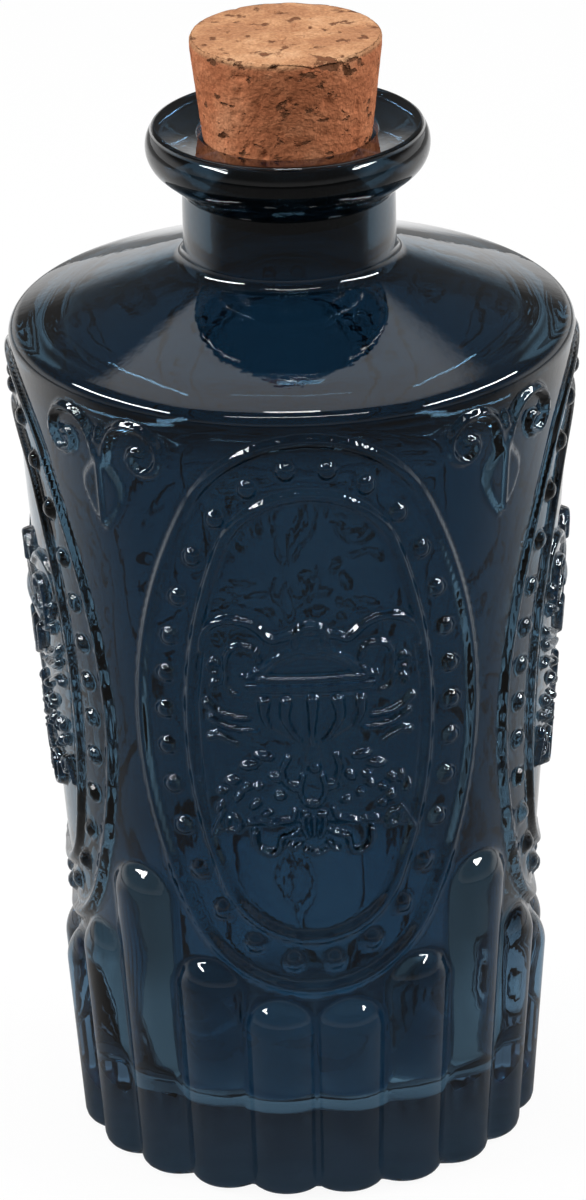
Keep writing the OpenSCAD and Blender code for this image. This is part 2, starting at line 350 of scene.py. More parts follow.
def carve_plaque(carving):
    left = [(-19.4, 108.6), (-19.3, 110.6), (-18.4, 112.6), (-16.9, 114), (-14.6, 114.8),
            (-12, 114.8), (-9.6, 113.9), (-7.8, 112.2), (-6.6, 111.4), (-5, 111.8), (-3.2, 112.4)]
    right = [(3.6, 112.4), (5.2, 111.9), (6.8, 111.3), (8.2, 112.3), (9.8, 113.7), (12.4, 114.7),
             (15.2, 114.6), (17.6, 113.6), (19, 112), (19.8, 110), (19.9, 108.6)]
    low = [(21.6, 98), (21.4, 88), (20.4, 73.2), (19.2, 72.6), (16, 73.6), (10, 74.6), (4, 75),
           (-4, 75), (-10, 74.6), (-16, 73.4), (-19, 72.4), (-20.2, 73.2), (-21.2, 88), (-21.2, 98)]
    outline = list(smooth_line(left, 4)) + list(smooth_line(right, 4)) + low
    carving.plate(outline, 0.55, 0.9)
    for side in (left, right):
        carving.stroke(smooth_line(side, 4), 0.85, 1.25, full=0.5)


def carve_urn(carving):
    # Knob and lid
    carving.knob(0.2, 111.6, 2.6, 2.6, 1.5, full=0.5)
    crown = [(0.2 + 2.9 * math.cos(math.radians(200 - 11 * k)), 111.4 + 2.9 * math.sin(math.radians(200 - 11 * k)))
             for k in range(21)]
    carving.stroke(crown, 0.7, 1.9, full=0.5)
    dome = [(-10.2, 104.6)]
    for k in range(13):
        a = math.radians(150 - 10 * k)
        dome.append((0.1 + 11.2 * math.cos(a), 99.8 + 10.9 * math.sin(a)))
    dome.append((10.2, 104.6))
    carving.plate(dome, 1.2, 0.8)
    arch = []
    for k in range(13):
        a = math.radians(146 - 9.3 * k)
        arch.append((0.1 + 9.6 * math.cos(a), 99.9 + 9 * math.sin(a)))
    carving.stroke(arch, 0.7, 1.6, full=0.5)
    # Rim
    carving.stroke([(-9.2, 104.1), (9.9, 104.1)], 0.85, 2.1, full=0.5)
    carving.plate([(-12.2, 103.2), (12.6, 103.2), (11, 101), (-11, 101)], 1.4, 0.6)
    # Bowl and its gadroons
    carving.plate([(-10.8, 101), (10.8, 101), (9.6, 96.5), (7.4, 93.6), (4, 91.6), (-3.6, 91.6),
                   (-7.2, 93.8), (-9.4, 96.6)], 0.85, 0.9)
    lobes = (
        ([(-8.2, 99.3), (-8.3, 97), (-7.4, 94.6)], 1.35, 0.5),
        ([(-4.3, 99.4), (-4.6, 96.6), (-3.2, 93.6), (-1.8, 91.8)], 1.45, 0.4),
        ([(0.4, 99.6), (0.3, 96), (0.2, 93.2), (0.2, 91.4)], 1.4, 0.35),
        ([(4.9, 99.4), (5.3, 96.6), (3.8, 93.6), (2.2, 91.8)], 1.45, 0.4),
        ([(9, 99.2), (9.1, 97), (8, 94.6)], 1.35, 0.5),
    )
    for line, top, bottom in lobes:
        carving.stroke(smooth_line(line, 4), top, 2.0, bottom, full=0.5)
    # Stem and foot
    carving.stroke([(0.3, 91), (0.3, 88.4)], 1.5, 1.3, 2.2)
    carving.knob(0.6, 86.5, 1.4, 1.3, 1.9, full=0.5)


def carve_handles(carving):
    for side in (-1, 1):
        scrolls = (
            ([(8.9, 107.6), (9.7, 109.4), (11.6, 110.2), (13.8, 109.6), (14.9, 107.6), (14.8, 104.8),
              (15.2, 102.6), (14.3, 101), (12.6, 100.6)], 0.75, 0.5),
            ([(9.4, 105.6), (10.8, 104.4), (12.2, 104.2)], 0.6, 0.45),
            ([(16.2, 106.4), (17.2, 107), (18.2, 106.2), (17.8, 104.8), (16.8, 104.6)], 0.5, 0.4),
            ([(16.4, 102.8), (17.4, 103), (17.8, 102), (17, 101.2)], 0.5, 0.4),
            ([(18.9, 98.6), (17.2, 97.2), (14.6, 96.3), (11.2, 96)], 1.0, 0.4),
            ([(18.2, 95.8), (16, 94.5), (13.4, 93.9), (9.4, 93.5)], 0.9, 0.4),
            ([(18.6, 92), (17, 92.4), (15.4, 91.8), (13.4, 90.8)], 0.85, 0.5),
        )
        for line, start, end in scrolls:
            line = [(side * u, z) for u, z in line]
            carving.stroke(smooth_line(line, 4), start, 1.75, end, full=0.5)


def carve_foliage(carving):
    leaves = (
        (-8.6, 88.8, 2.0, 0.9, -12), (-11.4, 86.8, 2.0, 0.9, 8), (-14.8, 83.6, 1.6, 0.9, 12),
        (-12.2, 82.4, 1.3, 0.8, 30), (-9.8, 82.8, 1.2, 0.8, 30), (-6.6, 84.6, 1.5, 0.9, -25),
        (-5.9, 81, 1.2, 1.0, 0), (-3, 82.8, 1.6, 1.0, -8), (-13.8, 80.4, 1.4, 0.7, 50),
        (-16.8, 81.4, 1.2, 0.7, 10), (-17.4, 78.2, 1.5, 0.7, 50), (-10.6, 79.2, 1.5, 0.8, 40),
        (9.3, 88.5, 2.0, 0.9, 8), (12.2, 86.4, 2.1, 0.9, -6), (7.2, 84.6, 1.4, 0.9, -40),
        (10.5, 84.6, 1.2, 0.8, 10), (11.1, 82.5, 1.1, 0.8, -30), (15.2, 83, 1.3, 0.9, -40),
        (17, 83, 0.8, 1.3, 0), (18.4, 80.9, 0.8, 1.3, -20), (9.2, 81, 1.0, 0.9, 0),
        (13.4, 81.6, 1.1, 0.8, -30), (15.1, 79.6, 1.0, 1.1, 0), (13.4, 78.3, 1.0, 0.8, 0),
        (3.6, 82.9, 1.6, 1.0, 8), (0.2, 79.3, 1.5, 0.8, -8), (-1.1, 77.3, 1.0, 0.6, 0),
        (1.9, 77.3, 1.2, 0.6, 0), (6.4, 79.8, 1.1, 0.7, 20), (-8.4, 77.6, 1.2, 0.6, 20),
    )
    for u, z, a, b, turn in leaves:
        carving.knob(u, z, a * 1.1, b * 1.15, 1.9, turn, full=0.5)
    stems = (
        ([(-4.2, 88.6), (-5.4, 86), (-4.6, 83.4)], 0.7, 0.5), ([(4.6, 88.8), (5.2, 86.2), (4.4, 83.4)], 0.7, 0.5),
        ([(-1.6, 85), (-2.2, 82), (-1.2, 79.6)], 0.6, 0.5), ([(2, 85), (2.6, 82), (1.6, 79.6)], 0.6, 0.5),
        ([(-11.8, 75.6), (-9.4, 76), (-7.8, 75.3), (-6.2, 75.9), (-3.8, 76.4), (-3.2, 78)], 0.65, 0.5),
        ([(12.4, 75.4), (10.2, 75.7), (9, 75.2), (7.2, 75.9), (4.8, 76.6), (4, 78.4)], 0.65, 0.5),
        ([(-16.2, 73.8), (-14.6, 73.6), (-13.6, 74.8), (-14.4, 76.4), (-16, 76), (-16.2, 74.8)], 0.6, 0.5),
        ([(16.6, 74), (15.2, 73.6), (14.6, 75), (15.6, 76.4), (17, 76), (17, 74.8)], 0.6, 0.5),
        ([(-19, 72.8), (-17.8, 75.4), (-16.8, 77.2)], 0.5, 0.4),
        ([(19.8, 72.8), (18.4, 75.2), (17.2, 77)], 0.5, 0.4),
        ([(-11, 73.4), (-10.8, 71), (-9.2, 69.6), (-7.2, 69.4), (-6.1, 70.8), (-5.8, 72.6), (-3.8, 73.4),
          (-2.6, 74.4)], 0.75, 0.45),
        ([(11.4, 73.4), (11.4, 71), (9.8, 69.4), (7.9, 69.2), (7.2, 70.8), (6.8, 72.4), (4.4, 73.4),
          (3, 74.4)], 0.75, 0.45),
        ([(-4.4, 71.2), (-3.6, 70.3), (-2.4, 71.6)], 0.5, 0.4), ([(3.2, 71.6), (4, 70.4), (5, 70)], 0.5, 0.4),
        ([(-1.8, 76.4), (-1.6, 74.4), (-0.8, 72.6)], 0.5, 0.35), ([(2.4, 76.4), (2.2, 74.4), (1.4, 72.6)], 0.5, 0.35),
        ([(0.3, 76.4), (0.3, 73)], 0.5, 0.35), ([(-1.4, 70.2), (0.6, 69.4), (2.6, 70)], 0.5, 0.4),
    )
    for line, start, end in stems:
        carving.stroke(smooth_line(line, 4), start * 1.15, 1.7, end * 1.15, full=0.5)


def carve_spray(carving, centre):
    """Twin scrolls over a hanging leaf, at the join of two sides."""
    for side in (-1, 1):
        scroll = [(0.9, 141.4), (1.6, 144.6), (3.2, 147.6), (6, 149.3), (9.3, 149), (11.7, 146.8),
                  (12.2, 144), (11.2, 141.8), (9.3, 141), (7.3, 141.7), (6.6, 143.3), (7.4, 144.8), (8.8, 144.6)]
        carving.stroke(smooth_line([(centre + side * u, z) for u, z in scroll], 5), 0.9, 1.3, 0.7, full=0.5)
    carving.stroke([(centre, 146.6), (centre, 142)], 1.3, 1.0, 1.6)
    leaf = [(centre, 143), (centre + 1.9, 141), (centre + 4.2, 138.2), (centre + 4.7, 135.8),
            (centre + 3.4, 132.6), (centre + 1.6, 130), (centre, 128), (centre - 1.6, 130),
            (centre - 3.4, 132.6), (centre - 4.7, 135.8), (centre - 4.2, 138.2), (centre - 1.9, 141)]
    carving.plate(leaf, 1.0, 0.9)
    carving.stroke([(centre, 142), (centre, 129.4)], 0.9, 1.5, 0.5, full=0.5)
    carving.knob(centre, 145.3, 1.4, 1.2, 1.3)


def carving_height(phi, z):
    """Height of all the carving above the plain wall, for one side of the bottle."""
    rings = carve_rings(phi, z)
    picture = Carving(phi * DRAWING_R, z)
    carve_plaque(picture)
    carve_urn(picture)
    carve_handles(picture)
    carve_foliage(picture)
    corner = DRAWING_R * SIDE_STEP / 2
    for centre in (-corner, corner):
        carve_spray(picture, centre)
    return np.maximum(rings, picture.height)


# Flutes

def flute_rod(z):
    """Distance of a flute's centre line from the axis at height z, and its radius."""
    tip = wall_r(z) + FLUTE_H
    groove = wall_r(z) + GROOVE_H
    rise = tip - groove * math.cos(FLUTE_STEP / 2)
    half = groove * math.sin(FLUTE_STEP / 2)
    r = (rise ** 2 + half ** 2) / (2 * rise)
    return tip - r, r


def flute_reach(phi, z):
    """Radius of the flutes' faces, or 0 where there is none."""
    place = np.floor(phi / FLUTE_STEP)
    off = phi - (place + 0.5) * FLUTE_STEP
    step = np.abs(place + 0.5)
    top = np.where(step < 1, FLUTE_TOPS[0], np.where(step < 2, FLUTE_TOPS[1], FLUTE_TOPS[2]))
    reach = np.zeros_like(phi)
    for value in FLUTE_TOPS:
        centre, r = flute_rod(value)
        dome_z = value - math.sqrt(r ** 2 - (wall_r(value) - centre) ** 2)
        here = top == value
        level = np.minimum(z[here], dome_z)
        tip = wall_r(level) + FLUTE_H
        groove = wall_r(level) + GROOVE_H
        rise = tip - groove * math.cos(FLUTE_STEP / 2)
        half = groove * math.sin(FLUTE_STEP / 2)
        rod = (rise ** 2 + half ** 2) / (2 * rise)
        axis = tip - rod
        above = np.maximum(z[here] - dome_z, 0)
        foot = np.clip(FLUTE_FOOT - z[here], 0, FLUTE_FOOT)
        inset = FLUTE_FOOT - np.sqrt(FLUTE_FOOT ** 2 - foot ** 2)
        left = (rod - inset) ** 2 - above ** 2 - (axis * np.sin(off[here])) ** 2
        reach[here] = np.where(left > 0, axis * np.cos(off[here]) + np.sqrt(np.maximum(left, 0)), 0)
    return reach


def core_r(z):
    """The wall itself, rounded in at the foot."""
    inner_foot = 2.2
    foot = np.clip(inner_foot - z, 0, inner_foot)
    return wall_r(z) - (inner_foot - np.sqrt(inner_foot ** 2 - foot ** 2))


# Meshes

def rows_of_wall(top_z):
    """Heights of the carved wall's rows, close together where there is detail."""
    heights = [0, 0.12, 0.4, 0.85, 1.5, 2.6]
    zones = ((2.6, 32, 4.2), (32, 67, 0.8), (67, 117, FINE), (117, top_z, 0.5))
    for start, end, step in zones:
        count = math.ceil((end - start) / step)
        heights += [start + (end - start) * k / count for k in range(1, count + 1)]
    return heights


def columns_of_side():
    """Angles of the columns on one side, an even number, from one corner towards the next."""
    corner = DRAWING_R * SIDE_STEP / 2
    angles = []
    for start, end, step in ((-corner, -URN_HALF, WIDE), (-URN_HALF, URN_HALF, FINE), (URN_HALF, corner, WIDE)):
        count = 2 * math.ceil((end - start) / step / 2)
        angles += [(start + (end - start) * k / count) / DRAWING_R for k in range(count)]
    return angles


def ring_of(verts, radii, levels, angles):
    """Adds one ring of points, each with its own radius, level and angle."""
    first = len(verts)
    for r, z, a in zip(radii, levels, angles):
        verts.append((r * math.sin(a) * MM, -r * math.cos(a) * MM, z * MM))
    return list(range(first, first + len(angles)))


def join_rings(faces, low, high):
    """Faces between two rings. One may have a whole number of times the points of the other."""
    if len(low) >= len(high):
        times = len(low) // len(high)
        for k in range(len(high)):
            n = (k + 1) % len(high)
            faces.append([low[(k * times + m) % len(low)] for m in range(times + 1)] + [high[n], high[k]])
        return
    times = len(high) // len(low)
    for k in range(len(low)):
        n = (k + 1) % len(low)
        faces.append([low[k], low[n]] + [high[(k * times + m) % len(high)] for m in range(times, -1, -1)])


def make_piece(name, verts, faces, body, node, material):
    mesh = bpy.data.meshes.new(name)
    mesh.from_pydata(verts, [], faces)
    mesh.validate()
    mesh.shade_smooth()
    mesh.materials.append(material)
    piece = bpy.data.objects.new(name, mesh)
    bpy.context.scene.collection.objects.link(piece)
    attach(piece, body)
    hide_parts(node)
    return piece


def make_bottle(material):
    side = columns_of_side()
    angles = [a + k * SIDE_STEP for k in range(SIDES) for a in side]
    top_z = 151.2
    heights = np.array(rows_of_wall(top_z))
    grid_phi, grid_z = np.meshgrid(np.array(side), heights)
    radius = np.maximum(core_r(grid_z), flute_reach(grid_phi, grid_z))
    radius = radius + carving_height(grid_phi, grid_z)
    verts = []
    faces = []
    half = angles[::2]
    few = half[::2]
    # Pushed-up base
    centre = len(verts)
    verts.append((0, 0, PUSH_UP * MM))
    last = None
    for r in (6, 12, 18, 23, PUSH_UP_R):
        z = PUSH_UP * (1 - (r / PUSH_UP_R) ** 2)
        ring = ring_of(verts, [r] * len(few), [z] * len(few), few)
        if last is None:
            faces += [(centre, ring[(k + 1) % len(ring)], ring[k]) for k in range(len(ring))]
        else:
            join_rings(faces, last, ring)
        last = ring
    # Carved wall, with every second column left out below the urn
    for row, z in enumerate(heights):
        step = 2 if z < 67 else 1
        here = np.tile(radius[row], SIDES)[::step]
        ring = ring_of(verts, here, [z] * len(here), angles[::step])
        join_rings(faces, last, ring)
        last = ring
    # Shoulder, neck and lip
    for r, z in upper_outline(top_z)[1:]:
        ring = ring_of(verts, [r] * len(half), [z] * len(half), half)
        join_rings(faces, last, ring)
        last = ring
    # Hollow, with the slight waves of pressed glass on its wall
    for r, z in inner_outline()[1:]:
        depth = min(1, max(0, (165 - z) / 20)) * min(1, r / 20)
        radii, levels = [], []
        for a in few:
            where = Vector((math.sin(a) * 2.2, math.cos(a) * 2.2, z / 24))
            swell = (noise.noise(where) * 0.9 + noise.noise(where * 2.7) * 0.3) * depth
            on_floor = z < FLOOR_T + 1
            radii.append(r + (0 if on_floor else swell))
            levels.append(z + (swell if on_floor else 0))
        ring = ring_of(verts, radii, levels, few)
        join_rings(faces, last, ring)
        last = ring
    middle = len(verts)
    verts.append((0, 0, FLOOR_T * MM))
    faces += [(middle, last[k], last[(k + 1) % len(last)]) for k in range(len(last))]
    return make_piece("pressed_bottle", verts, faces, "bottle", "glass_bottle", material)


def make_cork(material):
    angles = [2 * math.pi * k / 220 for k in range(220)]
    low_z = CORK_Z - CORK_L
    outline = rounded([
        (0.4, low_z, 0), (cork_at(low_z), low_z, 0.6), (CORK_R, CORK_Z, 0.6), (0.4, CORK_Z, 0)], 4)
    outline = spread(outline, 0.75)
    verts = []
    faces = []
    last = None
    first = len(verts)
    verts.append((0, 0, low_z * MM))
    for r, z in outline:
        radii, levels = [], []
        on_top = z > CORK_Z - 0.05
        on_bottom = z < low_z + 0.05
        for a in angles:
            x, y = r * math.sin(a), -r * math.cos(a)
            pit = cork_pit(x, y, z)
            edge = cork_chip(a, r, z)
            if on_top or on_bottom:
                radii.append(r)
                levels.append(z - (pit + edge if on_top else -pit))
            else:
                radii.append(r - pit - edge)
                levels.append(z - edge * 0.6)
        ring = ring_of(verts, radii, levels, angles)
        if last is None:
            faces += [(first, ring[(k + 1) % len(angles)], ring[k]) for k in range(len(angles))]
        else:
            join_rings(faces, last, ring)
        last = ring
    top = len(verts)
    verts.append((0, 0, CORK_Z * MM))
    faces += [(top, last[k], last[(k + 1) % len(angles)]) for k in range(len(angles))]
    return make_piece("bark_cork", verts, faces, "stopper", "cork_stopper", material)


def cork_pit(x, y, z):
    """Depth of the cork's pores and its short dark cracks."""
    grain = noise.noise(Vector((x, y, z)) * 0.55)
    crack = noise.noise(Vector((x * 0.28 + 7, y * 0.28, z * 0.75)))
    fine = noise.noise(Vector((x, y, z)) * 1.6 + Vector((3, 9, 1)))
    depth = 0.05 + 0.05 * fine
    depth += 0.5 * max(0, grain - 0.36) / 0.3
    depth += 0.9 * max(0, 0.05 - abs(crack - 0.28)) / 0.05 * max(0, grain + 0.2)
    return min(0.9, max(0, depth))


def cork_chip(a, r, z):
    """Broken edge of the cork's top, deepest at the front right."""
    to_edge = math.hypot(CORK_R - min(r, CORK_R), CORK_Z - z)
    if to_edge > 2.6:
        return 0
    rough = noise.noise(Vector((math.sin(a) * 4, math.cos(a) * 4, 2.5)))
    front = math.exp(-((a - 0.35) / 0.22) ** 2)
    size = 0.25 + 0.5 * max(0, rough) + 1.5 * front * (0.7 + rough)
    return max(0, size) * max(0, 1 - to_edge / 2.6) ** 1.5


# Materials

def node_of(tree, kind, place, **values):
    node = tree.nodes.new(kind)
    node.location = place
    for key, value in values.items():
        if key.startswith("in_"):
            node.inputs[key[3:].replace("_", " ")].default_value = value
        else:
            setattr(node, key, value)
    return node


def speckle_group():
    """Soft dust and wear, shared by the glass and the cork: a mask and a height."""
    group = bpy.data.node_groups.new("surface_unevenness", "ShaderNodeTree")
    group.interface.new_socket("Size", in_out="INPUT", socket_type="NodeSocketFloat")
    group.interface.new_socket("Stretch", in_out="INPUT", socket_type="NodeSocketVector")
    group.interface.new_socket("Mask", in_out="OUTPUT", socket_type="NodeSocketFloat")
    group.interface.new_socket("Height", in_out="OUTPUT", socket_type="NodeSocketFloat")
    entry = node_of(group, "NodeGroupInput", (-800, 0))
    leave = node_of(group, "NodeGroupOutput", (500, 0))
    place = node_of(group, "ShaderNodeTexCoord", (-800, -200))
    scaled = node_of(group, "ShaderNodeVectorMath", (-600, -100), operation="MULTIPLY")
    broad = node_of(group, "ShaderNodeTexNoise", (-380, 100), in_Detail=3.0, in_Roughness=0.55)
    close = node_of(group, "ShaderNodeTexNoise", (-380, -200), in_Detail=2.0, in_Roughness=0.6)
    finer = node_of(group, "ShaderNodeMath", (-560, -320), operation="MULTIPLY")
    finer.inputs[1].default_value = 6.0
    mask = node_of(group, "ShaderNodeMapRange", (-120, 100))
    mask.inputs["From Min"].default_value = 0.42
    mask.inputs["From Max"].default_value = 0.68
    blend = node_of(group, "ShaderNodeMath", (100, -100), operation="ADD")
    link = group.links.new
    link(place.outputs["Object"], scaled.inputs[0])
    link(entry.outputs["Stretch"], scaled.inputs[1])
    link(scaled.outputs[0], broad.inputs["Vector"])
    link(scaled.outputs[0], close.inputs["Vector"])
    link(entry.outputs["Size"], broad.inputs["Scale"])
    link(entry.outputs["Size"], finer.inputs[0])
    link(finer.outputs[0], close.inputs["Scale"])
    link(broad.outputs["Fac"], mask.inputs["Value"])
    link(broad.outputs["Fac"], blend.inputs[0])
    link(close.outputs["Fac"], blend.inputs[1])
    link(mask.outputs["Result"], leave.inputs["Mask"])
    link(blend.outputs[0], leave.inputs["Height"])
    return group


def new_material(name):
    material = bpy.data.materials.new(name)
    material.use_nodes = True
    tree = material.node_tree
    tree.nodes.clear()
    out = node_of(tree, "ShaderNodeOutputMaterial", (600, 0))
    return material, tree, out


def navy_glass(unevenness):
    material, tree, out = new_material("navy_pressed_glass")
    shader = node_of(tree, "ShaderNodeBsdfPrincipled", (300, 100))
    shader.inputs["Metallic"].default_value = 0.0
    shader.inputs["Transmission Weight"].default_value = 1.0
    shader.inputs["IOR"].default_value = 1.5
    uneven = node_of(tree, "ShaderNodeGroup", (-400, 0))
    uneven.node_tree = unevenness
    uneven.inputs["Size"].default_value = 55.0
    uneven.inputs["Stretch"].default_value = (1.0, 1.0, 0.7)
    place = node_of(tree, "ShaderNodeTexCoord", (-900, 400))
    parts = node_of(tree, "ShaderNodeSeparateXYZ", (-700, 400))
    level = node_of(tree, "ShaderNodeMath", (-500, 400), operation="DIVIDE")
    level.inputs[1].default_value = 200 * MM
    # The glass's navy colour, painted lighter and darker by height as painted light and shade
    depth = ramp_of(tree, (-300, 400), [
        (z / 200, tuple(shade * part for part in (0.068, 0.146, 0.211))) for z, shade in GLASS_PAINTED_SHADES])
    rough = node_of(tree, "ShaderNodeMapRange", (-100, 100))
    rough.inputs["To Min"].default_value = 0.0
    rough.inputs["To Max"].default_value = 0.03
    bump = node_of(tree, "ShaderNodeBump", (0, -200))
    bump.inputs["Strength"].default_value = 0.08
    bump.inputs["Distance"].default_value = 0.0003
    volume = node_of(tree, "ShaderNodeVolumeAbsorption", (300, -250))
    volume.inputs["Color"].default_value = (0.05, 0.0, 0.1, 1)
    volume.inputs["Density"].default_value = 20.0
    link = tree.links.new
    link(place.outputs["Object"], parts.inputs[0])
    link(parts.outputs["Z"], level.inputs[0])
    link(level.outputs[0], depth.inputs["Fac"])
    link(depth.outputs["Color"], shader.inputs["Base Color"])
    link(uneven.outputs["Mask"], rough.inputs["Value"])
    # The underside is matt
    flat = node_of(tree, "ShaderNodeVectorMath", (-700, 700), operation="MULTIPLY")
    flat.inputs[1].default_value = (1, 1, 0)
    away = node_of(tree, "ShaderNodeVectorMath", (-500, 700), operation="LENGTH")
    link(place.outputs["Object"], flat.inputs[0])
    link(flat.outputs[0], away.inputs[0])
    inside = ease(tree, (-300, 700), away.outputs["Value"], 35.5 * MM, 36.5 * MM, UNDERSIDE_MATT, 0.0)
    low = ease(tree, (-300, 950), parts.outputs["Z"], 2.1 * MM, 2.8 * MM, 1.0, 0.0)
    under = sum_of(tree, (-100, 800), "MULTIPLY", inside, low)
    rough = sum_of(tree, (100, 600), "MAXIMUM", rough.outputs["Result"], under)
    link(rough, shader.inputs["Roughness"])
    link(uneven.outputs["Height"], bump.inputs["Height"])
    link(bump.outputs["Normal"], shader.inputs["Normal"])
    link(shader.outputs["BSDF"], out.inputs["Surface"])
    link(volume.outputs["Volume"], out.inputs["Volume"])
    return material


def ramp_of(tree, place, stops):
    node = tree.nodes.new("ShaderNodeValToRGB")
    node.location = place
    ramp = node.color_ramp
    while len(ramp.elements) < len(stops):
        ramp.elements.new(0.5)
    for element, (position, colour) in zip(ramp.elements, stops):
        element.position = position
        element.color = (*colour, 1)
    return node


def mix_colour(tree, place, how, factor=None):
    node = tree.nodes.new("ShaderNodeMix")
    node.location = place
    node.data_type = "RGBA"
    node.blend_type = how
    if factor is not None:
        node.inputs[0].default_value = factor
    return node


def bark_cork(unevenness):
    material, tree, out = new_material("bark_cork")
    link = tree.links.new
    shader = node_of(tree, "ShaderNodeBsdfPrincipled", (500, 100))
    place = node_of(tree, "ShaderNodeTexCoord", (-1100, 0))
    # Broad patches of lighter and darker bark
    uneven = node_of(tree, "ShaderNodeGroup", (-800, 300))
    uneven.node_tree = unevenness
    uneven.inputs["Size"].default_value = 120.0
    uneven.inputs["Stretch"].default_value = (1.0, 1.0, 1.1)
    patches = ramp_of(tree, (-500, 300), (
        (0.0, (0.50, 0.175, 0.078)), (0.45, (0.60, 0.225, 0.105)), (1.0, (0.68, 0.30, 0.155))))
    link(uneven.outputs["Mask"], patches.inputs["Fac"])
    # The cut top is paler than the side
    top_patches = ramp_of(tree, (-500, 550), (
        (0.0, (0.43, 0.21, 0.105)), (0.45, (0.52, 0.275, 0.14)), (1.0, (0.62, 0.36, 0.20))))
    link(uneven.outputs["Mask"], top_patches.inputs["Fac"])
    parts = node_of(tree, "ShaderNodeSeparateXYZ", (-800, 700))
    link(place.outputs["Object"], parts.inputs[0])
    on_top = ease(tree, (-500, 800), parts.outputs["Z"], (CORK_Z - 1.6) * MM, (CORK_Z - 0.5) * MM, 0.0, 1.0)
    colour = mix_colour(tree, (-300, 400), "MIX")
    link(on_top, colour.inputs[0])
    link(patches.outputs["Color"], colour.inputs["A"])
    link(top_patches.outputs["Color"], colour.inputs["B"])
    # Small cells
    cells = node_of(tree, "ShaderNodeTexVoronoi", (-800, 0), feature="F1")
    cells.inputs["Scale"].default_value = 900.0
    link(place.outputs["Object"], cells.inputs["Vector"])
    cell_shade = ramp_of(tree, (-500, 0), ((0.0, (1, 1, 1)), (0.7, (0.78, 0.72, 0.68))))
    link(cells.outputs["Distance"], cell_shade.inputs["Fac"])
    first = mix_colour(tree, (-200, 200), "MULTIPLY", 0.55)
    link(colour.outputs["Result"], first.inputs["A"])
    link(cell_shade.outputs["Color"], first.inputs["B"])
    # Dark pores and short cracks
    stretch = node_of(tree, "ShaderNodeMapping", (-1000, -300))
    stretch.inputs["Scale"].default_value = (1.0, 1.0, 1.5)
    pores = node_of(tree, "ShaderNodeTexNoise", (-800, -300))
    pores.inputs["Scale"].default_value = 330.0
    pores.inputs["Detail"].default_value = 5.0
    link(place.outputs["Object"], stretch.inputs["Vector"])
    link(stretch.outputs["Vector"], pores.inputs["Vector"])
    # The broken place in the front edge has many more cracks
    across = sum_of(tree, (-1000, -600), "SUBTRACT", parts.outputs["X"], 7 * MM)
    across = sum_of(tree, (-900, -600), "ABSOLUTE", across, 0)
    across = ease(tree, (-800, -600), across, 3 * MM, 9 * MM, 0.13, 0.0)
    below = ease(tree, (-800, -850), parts.outputs["Z"], (CORK_Z - 6) * MM, (CORK_Z - 1.5) * MM, 0.0, 1.0)
    top_edge = ease(tree, (-800, -1100), parts.outputs["Z"], (CORK_Z - 1.2) * MM, (CORK_Z - 0.4) * MM, 1.0, 0.0)
    facing = ease(tree, (-800, -1350), parts.outputs["Y"], -12 * MM, -7 * MM, 1.0, 0.0)
    broken = sum_of(tree, (-650, -700), "MULTIPLY", across, below)
    broken = sum_of(tree, (-630, -800), "MULTIPLY", broken, top_edge)
    broken = sum_of(tree, (-600, -900), "MULTIPLY", broken, facing)
    broken = sum_of(tree, (-500, -500), "ADD", broken, pores.outputs["Fac"])
    pore_mask = ramp_of(tree, (-400, -300), ((0.595, (0, 0, 0)), (0.655, (1, 1, 1))))
    link(broken, pore_mask.inputs["Fac"])
    second = mix_colour(tree, (50, 100), "MIX")
    link(pore_mask.outputs["Color"], second.inputs[0])
    # Fine sandy grain
    grain = node_of(tree, "ShaderNodeTexNoise", (-500, -900))
    grain.inputs["Scale"].default_value = 1900.0
    grain.inputs["Detail"].default_value = 2.0
    link(place.outputs["Object"], grain.inputs["Vector"])
    grain_shade = ramp_of(tree, (-300, -900), ((0.3, (0.72, 0.66, 0.62)), (0.7, (1.15, 1.15, 1.15))))
    link(grain.outputs["Fac"], grain_shade.inputs["Fac"])
    sandy = mix_colour(tree, (-100, -500), "MULTIPLY", 0.8)
    link(first.outputs["Result"], sandy.inputs["A"])
    link(grain_shade.outputs["Color"], sandy.inputs["B"])
    link(sandy.outputs["Result"], second.inputs["A"])
    second.inputs["B"].default_value = (0.16, 0.06, 0.025, 1)
    link(second.outputs["Result"], shader.inputs["Base Color"])
    shader.inputs["Roughness"].default_value = 0.85
    shader.inputs["Specular IOR Level"].default_value = 0.25
    height = node_of(tree, "ShaderNodeMath", (0, -200), operation="SUBTRACT")
    bump = node_of(tree, "ShaderNodeBump", (250, -200))
    bump.inputs["Strength"].default_value = 0.8
    bump.inputs["Distance"].default_value = 0.0006
    link(uneven.outputs["Height"], height.inputs[0])
    link(pore_mask.outputs["Color"], height.inputs[1])
    link(height.outputs[0], bump.inputs["Height"])
    link(bump.outputs["Normal"], shader.inputs["Normal"])
    link(shader.outputs["BSDF"], out.inputs["Surface"])
    return material


# The studio

def ease(tree, place, source, start, end, low, high):
    """Smooth change from low to high while the source goes from start to end."""
    node = node_of(tree, "ShaderNodeMapRange", place, interpolation_type="SMOOTHSTEP")
    node.inputs["From Min"].default_value = start
    node.inputs["From Max"].default_value = end
    node.inputs["To Min"].default_value = low
    node.inputs["To Max"].default_value = high
    tree.links.new(source, node.inputs["Value"])
    return node.outputs["Result"]


def sum_of(tree, place, operation, first, second):
    """One step of arithmetic. The second value is a number or an output."""
    node = node_of(tree, "ShaderNodeMath", place, operation=operation)
    tree.links.new(first, node.inputs[0])
    if isinstance(second, (int, float)):
        node.inputs[1].default_value = second
    else:
        tree.links.new(second, node.inputs[1])
    return node.outputs[0]


